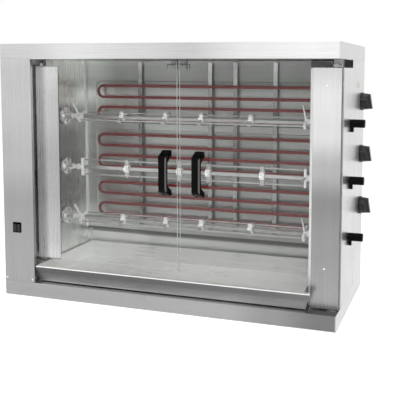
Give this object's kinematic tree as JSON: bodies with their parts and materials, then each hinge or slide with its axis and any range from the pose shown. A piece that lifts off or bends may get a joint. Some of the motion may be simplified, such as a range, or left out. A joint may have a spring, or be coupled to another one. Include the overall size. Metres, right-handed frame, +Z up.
{
  "type": "skewer_grill",
  "caption": "Electric skewer grill in brushed steel with glass doors, driven spits, tubular heaters and a drip tray that slides out",
  "frame": {"origin": "middle of the underside of the base, at mount base_underside", "axes": "+X to the right seen from the front, +Y to the rear, +Z up"},
  "size_m": [1.1425, 0.4848, 0.82],
  "materials": {
    "cabinet_steel": "brushed stainless sheet",
    "chamber_steel": "bright stainless sheet",
    "hardware_steel": "machined stainless steel",
    "zinc_steel": "zinc plated steel",
    "bronze": "sintered bronze",
    "heater_tube": "dull red hot tube",
    "ceramic": "white ceramic",
    "black_plastic": "black heat-proof plastic",
    "gloss_black": "glossy black plastic",
    "lamp_plastic": "clear lamp lens",
    "motor_paint": "black enamel",
    "door_glass": "clear tempered glass"
  },
  "bodies": {
    "cabinet": {"base_bottom": "cabinet_steel", "base_pan": "cabinet_steel", "top_cover": "cabinet_steel", "left_side_panel": "cabinet_steel", "column_front_panel": "cabinet_steel", "rear_panel": "cabinet_steel", "right_side_panel": "cabinet_steel", "control_panel": "cabinet_steel", "chamber_left_wall": "chamber_steel", "chamber_right_wall": "chamber_steel", "chamber_rear_wall": "chamber_steel", "chamber_ceiling": "chamber_steel", "tray_runners": "hardware_steel", "hinge_brackets": "hardware_steel", "panel_screws": "hardware_steel", "heater_straps": "hardware_steel", "release_spring_1": "hardware_steel", "release_spring_2": "hardware_steel", "release_spring_3": "hardware_steel", "gear_case": "zinc_steel", "spit_bushes": "bronze", "heater_bank_1": "heater_tube", "heater_bank_2": "heater_tube", "heater_bank_3": "heater_tube", "heater_terminals": "ceramic", "door_magnets": "black_plastic", "cable_gland": "black_plastic", "energy_regulators": "black_plastic", "switch_frame": "gloss_black", "pilot_lamp": "lamp_plastic", "gear_motor": "motor_paint"},
    "left_door": {"left_door_stile": "cabinet_steel", "left_door_pane": "door_glass", "left_door_handle": "black_plastic", "left_door_fittings": "hardware_steel", "left_door_screws": "hardware_steel"},
    "right_door": {"right_door_stile": "cabinet_steel", "right_door_pane": "door_glass", "right_door_handle": "black_plastic", "right_door_fittings": "hardware_steel", "right_door_screws": "hardware_steel"},
    "drip_tray": {"drip_tray": "chamber_steel"},
    "spit_1": {"spit_1_drive": "hardware_steel", "spit_1_skewer": "hardware_steel", "spit_1_clamps": "hardware_steel"},
    "spit_2": {"spit_2_drive": "hardware_steel", "spit_2_skewer": "hardware_steel", "spit_2_clamps": "hardware_steel"},
    "spit_3": {"spit_3_drive": "hardware_steel", "spit_3_skewer": "hardware_steel", "spit_3_clamps": "hardware_steel"},
    "motor_pinion": {"motor_pinion": "hardware_steel"},
    "knob_1": {"knob_1": "gloss_black"},
    "knob_2": {"knob_2": "gloss_black"},
    "knob_3": {"knob_3": "gloss_black"},
    "rocker_left": {"switch_rocker_left": "gloss_black"},
    "rocker_right": {"switch_rocker_right": "gloss_black"},
    "release_1": {"release_pin_1": "black_plastic"},
    "release_2": {"release_pin_2": "black_plastic"},
    "release_3": {"release_pin_3": "black_plastic"}
  },
  "joints": [
    {"name": "left_door_hinge", "type": "hinge", "parent": "cabinet", "child": "left_door", "pos_m": [-0.43, -0.19, 0.122], "axis": [0, 0, -1], "range_deg": [0, 90]},
    {"name": "right_door_hinge", "type": "hinge", "parent": "cabinet", "child": "right_door", "pos_m": [0.529, -0.19, 0.05], "axis": [0, 0, 1], "range_deg": [0, 90]},
    {"name": "tray_slide", "type": "slide", "parent": "cabinet", "child": "drip_tray", "axis": [0, -1, 0], "range_m": [0, 0.3]},
    {"name": "spit_1_turn", "type": "hinge", "parent": "cabinet", "child": "spit_1", "pos_m": [-0.45, -0.045, 0.233], "axis": [1, 0, 0], "continuous": true},
    {"name": "spit_2_turn", "type": "hinge", "parent": "cabinet", "child": "spit_2", "pos_m": [-0.45, -0.045, 0.407], "axis": [1, 0, 0], "continuous": true},
    {"name": "spit_3_turn", "type": "hinge", "parent": "cabinet", "child": "spit_3", "pos_m": [-0.45, -0.045, 0.581], "axis": [1, 0, 0], "continuous": true},
    {"name": "motor_pinion_turn", "type": "hinge", "parent": "cabinet", "child": "motor_pinion", "pos_m": [-0.5, 0.072, 0.407], "axis": [1, 0, 0], "continuous": true},
    {"name": "knob_1_turn", "type": "hinge", "parent": "cabinet", "child": "knob_1", "pos_m": [0.549, 0.182, 0.29], "axis": [1, 0, 0], "range_deg": [0, 270]},
    {"name": "knob_2_turn", "type": "hinge", "parent": "cabinet", "child": "knob_2", "pos_m": [0.549, 0.182, 0.464], "axis": [1, 0, 0], "range_deg": [0, 270]},
    {"name": "knob_3_turn", "type": "hinge", "parent": "cabinet", "child": "knob_3", "pos_m": [0.549, 0.182, 0.638], "axis": [1, 0, 0], "range_deg": [0, 270]},
    {"name": "rocker_left_tilt", "type": "hinge", "parent": "cabinet", "child": "rocker_left", "pos_m": [-0.5069, -0.235, 0.226], "axis": [-1, 0, 0], "range_deg": [0, 12]},
    {"name": "rocker_right_tilt", "type": "hinge", "parent": "cabinet", "child": "rocker_right", "pos_m": [-0.4931, -0.235, 0.226], "axis": [-1, 0, 0], "range_deg": [0, 12]},
    {"name": "release_1_slide", "type": "slide", "parent": "cabinet", "child": "release_1", "axis": [1, 0, 0], "range_m": [0, 0.025], "stiffness_N_per_m": 200, "springref_m": -0.01, "deforming": ["release_spring_1"]},
    {"name": "release_2_slide", "type": "slide", "parent": "cabinet", "child": "release_2", "axis": [1, 0, 0], "range_m": [0, 0.025], "stiffness_N_per_m": 200, "springref_m": -0.01, "deforming": ["release_spring_2"]},
    {"name": "release_3_slide", "type": "slide", "parent": "cabinet", "child": "release_3", "axis": [1, 0, 0], "range_m": [0, 0.025], "stiffness_N_per_m": 200, "springref_m": -0.01, "deforming": ["release_spring_3"]}
  ],
  "couplings": [
    {"joint": "spit_1_turn", "follows": "spit_2_turn", "ratio": -1},
    {"joint": "spit_3_turn", "follows": "spit_2_turn", "ratio": -1},
    {"joint": "motor_pinion_turn", "follows": "spit_2_turn", "ratio": -2.9}
  ]
}
